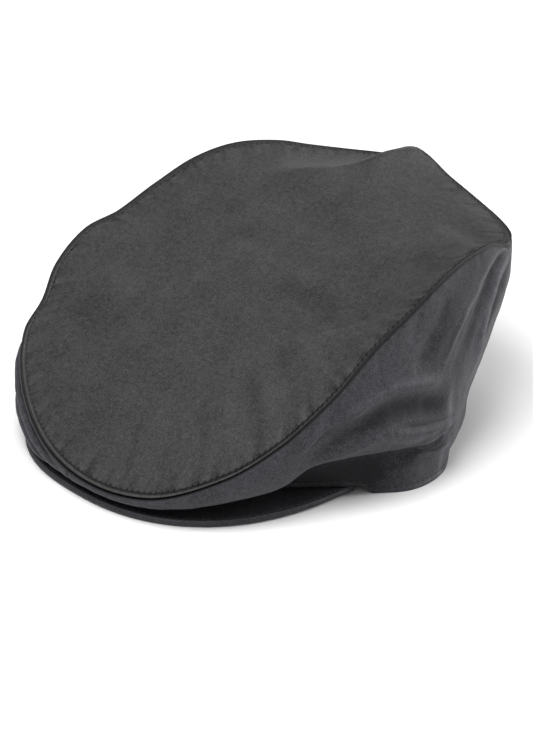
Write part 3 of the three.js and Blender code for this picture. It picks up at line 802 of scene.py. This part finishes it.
def stitch_row(name, line, normals, thickness, finish, closed=False):
    """A row of stitches that dip into the cloth at both ends."""
    if closed:
        line = np.concatenate([line, line[:1]])
        normals = np.concatenate([normals, normals[:1]])
    steps = np.linalg.norm(np.diff(line, axis=0), axis=1)
    run = np.concatenate([[0], np.cumsum(steps)])
    count = round(run[-1] / STITCH_PITCH)
    sides = 6
    shares = np.array([-0.5, -0.42, -0.2, 0.2, 0.42, 0.5])
    sinks = np.array([-0.45, -0.1, 0.1, 0.1, -0.1, -0.45])
    sizes = np.array([0.35, 0.85, 1.0, 1.0, 0.85, 0.35])
    build = Builder()
    for k in range(count):
        at = (k + 0.5) * run[-1] / count + shares * STITCH_LENGTH
        at = np.clip(at, 0, run[-1])
        spine = np.stack([np.interp(at, run, axis) for axis in line.T], axis=-1)
        up = unit(np.stack([np.interp(at, run, axis) for axis in normals.T], axis=-1))
        ahead = unit(np.gradient(spine, axis=0))
        beside = unit(np.cross(ahead, up))
        spine = spine + up * (sinks + STITCH_LIFT)[:, None]
        rings = []
        for s in range(sides):
            turn = 2 * math.pi * s / sides
            reach = thickness / 2 * sizes[:, None]
            outwards = beside * math.cos(turn) + up * STITCH_FLATNESS * math.sin(turn)
            rings.append(spine + outwards * reach)
        tube = np.stack(rings)
        grid = build.add(tube)
        build.quads(grid, closed=True)
        build.faces.append([int(v) for v in grid[:, 0]])
        build.faces.append([int(v) for v in grid[::-1, -1]])
    return build.piece(name, finish)


class Value:
    """A socket of a finish's nodes that works in ordinary arithmetic."""

    def __init__(self, finish, socket):
        self.finish = finish
        self.socket = socket

    def math(self, operation, first, second):
        inputs = {0: first, 1: second}
        return self.finish.node("ShaderNodeMath", {"operation": operation}, inputs)

    def __add__(self, other):
        return self.math("ADD", self, other)

    def __radd__(self, other):
        return self.math("ADD", other, self)

    def __sub__(self, other):
        return self.math("SUBTRACT", self, other)

    def __rsub__(self, other):
        return self.math("SUBTRACT", other, self)

    def __mul__(self, other):
        return self.math("MULTIPLY", self, other)

    def __rmul__(self, other):
        return self.math("MULTIPLY", other, self)

    def sine(self):
        return self.math("SINE", self, 0.0)

    def at_least(self, limit):
        return self.math("MAXIMUM", self, limit)

    def at_most(self, limit):
        return self.math("MINIMUM", self, limit)

    def power(self, exponent):
        return self.math("POWER", self, exponent)


class Finish:
    """A material made of nodes."""

    def __init__(self, name):
        self.material = bpy.data.materials.new(name)
        self.material.use_nodes = True
        self.tree = self.material.node_tree
        self.tree.nodes.clear()

    def node(self, kind, settings, inputs, output=0):
        made = self.tree.nodes.new(kind)
        for name, value in settings.items():
            if name == "stops":
                for element, (position, shade) in zip(made.color_ramp.elements, value):
                    element.position = position
                    element.color = (shade, shade, shade, 1)
            else:
                setattr(made, name, value)
        for name, value in inputs.items():
            if isinstance(value, Value):
                self.tree.links.new(value.socket, made.inputs[name])
            else:
                made.inputs[name].default_value = value
        return Value(self, made.outputs[output]) if made.outputs else None

    def place_mm(self):
        place = self.node("ShaderNodeTexCoord", {}, {}, "Object")
        scaled = {0: place, "Scale": 1000.0}
        return self.node("ShaderNodeVectorMath", {"operation": "SCALE"}, scaled)

    def noise(self, place, size, detail=2.0, roughness=0.5):
        inputs = {"Vector": place, "Scale": 1 / size, "Detail": detail, "Roughness": roughness}
        return self.node("ShaderNodeTexNoise", {}, inputs, "Fac")

    def pattern(self, name, axis=None):
        """A pattern of the cloth: a single one, or one axis of three."""
        settings = {"attribute_name": name}
        if axis is None:
            return self.node("ShaderNodeAttribute", settings, {}, "Fac")
        three = self.node("ShaderNodeAttribute", settings, {}, "Vector")
        return self.node("ShaderNodeSeparateXYZ", {}, {0: three}, axis)

    def steps(self, value, stops):
        return self.node("ShaderNodeValToRGB", {"stops": stops}, {"Fac": value})

    def blend(self, share, low, high):
        inputs = {0: share, 6: low, 7: high}
        return self.node("ShaderNodeMix", {"data_type": "RGBA"}, inputs, 2)


def waxed_cloth(name, dark, pale, roughness, sheen):
    """Waxed cotton: a mottled waxy surface over a fine plain weave, paler where it is worn and where light
    is painted, darker where shade is painted in seams, grooves and needle holes.
    """
    finish = Finish(name)
    place = finish.place_mm()
    grain = finish.noise(place, GRAIN_SIZE, 2.0, 0.6)
    mottle = finish.noise(place, MOTTLE_SIZE, 2.0, 0.6)
    clouds = finish.noise(place, CLOUD_SIZE, 3.0, 0.5)
    flecks = finish.steps(finish.noise(place, 1.0, 1.0, 0.5), [(0.7, 0.0), (0.78, 1.0)])
    # Paleness from worn cloth and from painted highlight and shade.
    rub_and_painted_light = finish.pattern("wear", "X")
    # Painted shade in seams and grooves.
    painted_recess_shade = finish.pattern("wear", "Y")
    # Painted shade in the needle holes.
    holed = finish.pattern("wear", "Z")
    needle = (finish.pattern("stitch") * (2 * math.pi) + math.pi / 2).sine()
    holes = (needle.at_least(0.0).power(3.0) * holed * 1.5).at_most(1.0)
    across = finish.pattern("thread", "X")
    down = finish.pattern("thread", "Y")
    turns = 2 * math.pi / WEAVE_PITCH
    weave = (across * turns).sine() * (down * turns).sine()

    tone = PLAIN_TONE + (grain - 0.5) * GRAIN_CONTRAST + (mottle - 0.5) * MOTTLE_CONTRAST
    tone = tone + (clouds - 0.5) * CLOUD_CONTRAST + flecks * FLECK_CONTRAST + rub_and_painted_light * RUB_AND_PAINTED_LIGHT_CONTRAST
    tone = tone.at_least(0.0).at_most(PALEST) * (1 / PALEST)
    cloth = finish.blend(tone, dark, pale)
    # Painted shade: seams, grooves and needle holes are darkened toward the shade colour.
    painted_shade = (painted_recess_shade + holes).at_least(0.0).at_most(1.0) * PAINTED_SHADE_DARKNESS
    colour = finish.blend(painted_shade, cloth, PAINTED_SHADE_COLOUR)
    gloss = roughness + (mottle - 0.5) * 0.2 + (clouds - 0.5) * 0.1 - rub_and_painted_light * 0.06
    wrinkles = finish.noise(place, WRINKLE_SIZE, 2.0, 0.55)
    relief = (grain - 0.5) * 0.3 + (wrinkles - 0.5) * 0.6 + weave * 0.06 - holes * 1.2
    bump = {"Strength": 0.7, "Distance": 0.0005, "Height": relief}
    normal = finish.node("ShaderNodeBump", {}, bump, "Normal")
    shader = finish.node(
        "ShaderNodeBsdfPrincipled",
        {},
        {
            "Base Color": colour,
            "Roughness": gloss,
            "Normal": normal,
            "Specular IOR Level": 0.2,
            "Sheen Weight": sheen,
            "Sheen Roughness": 0.4,
        },
    )
    finish.node("ShaderNodeOutputMaterial", {}, {"Surface": shader})
    return finish.material


def thread(name, colour):
    """Waxed cotton thread with its twist."""
    finish = Finish(name)
    place = finish.place_mm()
    twist = finish.noise(place, 0.35, 1.0)
    pale = tuple(c * 1.7 for c in colour[:3]) + (1,)
    shade = finish.blend(twist, colour, pale)
    normal = finish.node(
        "ShaderNodeBump", {}, {"Strength": 0.4, "Distance": 0.0002, "Height": twist}, "Normal"
    )
    shader = finish.node(
        "ShaderNodeBsdfPrincipled",
        {},
        {"Base Color": shade, "Roughness": 0.6, "Normal": normal},
    )
    finish.node("ShaderNodeOutputMaterial", {}, {"Surface": shader})
    return finish.material


def floor_paint():
    finish = Finish("pale_floor")
    place = finish.place_mm()
    clouds = finish.noise(place, 90.0)
    colour = finish.blend(clouds, (0.91, 0.91, 0.91, 1), (0.93, 0.93, 0.93, 1))
    shader = finish.node(
        "ShaderNodeBsdfPrincipled",
        {},
        {"Base Color": colour, "Roughness": 0.9, "Specular IOR Level": 0.1},
    )
    finish.node("ShaderNodeOutputMaterial", {}, {"Surface": shader})
    return finish.material


def floor():
    mesh = bpy.data.meshes.new("floor")
    half = 6.0
    corners = [(-half, -half, 0), (half, -half, 0), (half, half, 0), (-half, half, 0)]
    mesh.from_pydata(corners, [], [(0, 1, 2, 3)])
    mesh.materials.append(floor_paint())
    made = bpy.data.objects.new("floor", mesh)
    bpy.context.scene.collection.objects.link(made)


def soft_light(name, place, target, size, power):
    lamp = bpy.data.lights.new(name, "AREA")
    lamp.shape = "RECTANGLE"
    lamp.size = size[0]
    lamp.size_y = size[1]
    lamp.energy = power
    made = bpy.data.objects.new(name, lamp)
    made.location = place
    aim = Vector(target) - Vector(place)
    made.rotation_euler = aim.to_track_quat("-Z", "Y").to_euler()
    bpy.context.scene.collection.objects.link(made)


def studio():
    floor()
    world = bpy.data.worlds.new("studio")
    world.use_nodes = True
    sky = world.node_tree.nodes["Background"]
    sky.inputs["Color"].default_value = (1, 1, 1, 1)
    sky.inputs["Strength"].default_value = 0.16
    bpy.context.scene.world = world
    soft_light("front_softbox", (0.1, -0.6, 1.5), (0, 0, 0.05), (1.1, 1.1), 30)
    soft_light("low_fill", (0.75, -0.75, 0.2), (0.03, -0.05, 0.03), (0.6, 0.25), 0.9)
    soft_light("back_softbox", (-0.5, 0.8, 1.4), (0, 0, 0.05), (0.9, 0.6), 7)
    soft_light("rim_light", (0.75, 1.3, 0.45), (0, 0, 0.05), (0.4, 0.4), 17)
    bpy.context.scene.view_settings.view_transform = "Standard"


def camera():
    azimuth = math.radians(48)
    elevation = math.radians(25.5)
    distance = 1.1
    target = Vector((0.0011, -0.0085, 0.045))
    back = Vector((
        math.sin(azimuth) * math.cos(elevation),
        -math.cos(azimuth) * math.cos(elevation),
        math.sin(elevation),
    ))
    lens = bpy.data.cameras.new("camera")
    lens.sensor_width = 36
    lens.lens = 113.27
    lens.shift_x = 0.0137
    lens.shift_y = -0.0458
    lens.clip_start = 0.05
    lens.clip_end = 30
    made = bpy.data.objects.new("camera", lens)
    made.location = target + back * distance
    made.rotation_euler = (-back).to_track_quat("-Z", "Y").to_euler()
    bpy.context.scene.collection.objects.link(made)
    bpy.context.scene.camera = made


def ride(piece, node=None):
    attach(piece, "root")
    if node:
        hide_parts(node)


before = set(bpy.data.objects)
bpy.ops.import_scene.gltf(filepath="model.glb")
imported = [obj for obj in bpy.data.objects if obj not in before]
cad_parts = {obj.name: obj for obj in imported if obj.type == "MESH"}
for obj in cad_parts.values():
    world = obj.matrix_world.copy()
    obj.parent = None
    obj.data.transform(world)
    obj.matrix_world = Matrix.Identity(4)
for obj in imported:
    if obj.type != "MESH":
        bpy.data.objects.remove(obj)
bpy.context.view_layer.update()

top_cloth = waxed_cloth(
    "waxed_top",
    dark=(0.013, 0.0127, 0.0126, 1),
    pale=(0.0976, 0.0953, 0.0947, 1),
    roughness=0.65,
    sheen=0.03,
)
side_cloth = waxed_cloth(
    "waxed_side",
    dark=(0.0125, 0.012, 0.014, 1),
    pale=(0.098, 0.0939, 0.1085, 1),
    roughness=0.6,
    sheen=0.04,
)
peak_cloth = waxed_cloth(
    "waxed_peak",
    dark=(0.012, 0.0116, 0.0135, 1),
    pale=(0.0876, 0.0843, 0.0963, 1),
    roughness=0.6,
    sheen=0.03,
)
dark_thread = thread("dark_thread", (0.03, 0.03, 0.031, 1))

top, topstitch_line, topstitch_normals = top_panel(top_cloth)
ride(top, "top_panel")
left, left_hem, left_hem_normals = side_panel(
    "side_panel_left_cloth", 1, LEFT_FOLDS, LEFT_PAINTED_SHADING, side_cloth
)
ride(left, "side_panel_left")
right, right_hem, right_hem_normals = side_panel(
    "side_panel_right_cloth", -1, RIGHT_FOLDS, RIGHT_PAINTED_SHADING, side_cloth
)
ride(right, "side_panel_right")
board, edge_line = peak(peak_cloth)
ride(board, "peak")

topstitch = stitch_row(
    "crown_topstitch", topstitch_line, topstitch_normals, 0.42, dark_thread, closed=True
)
ride(topstitch)
for side_name, line, normals in (
    ("left", left_hem, left_hem_normals),
    ("right", right_hem, right_hem_normals),
):
    hem_stitch = stitch_row(f"hem_stitch_{side_name}", line, normals, 0.38, dark_thread)
    ride(hem_stitch)
upright = np.tile([0.0, 0.0, 1.0], (len(edge_line), 1))
edge_stitch = stitch_row("peak_edge_stitch", edge_line, upright, 0.4, dark_thread)
ride(edge_stitch)

studio()
camera()
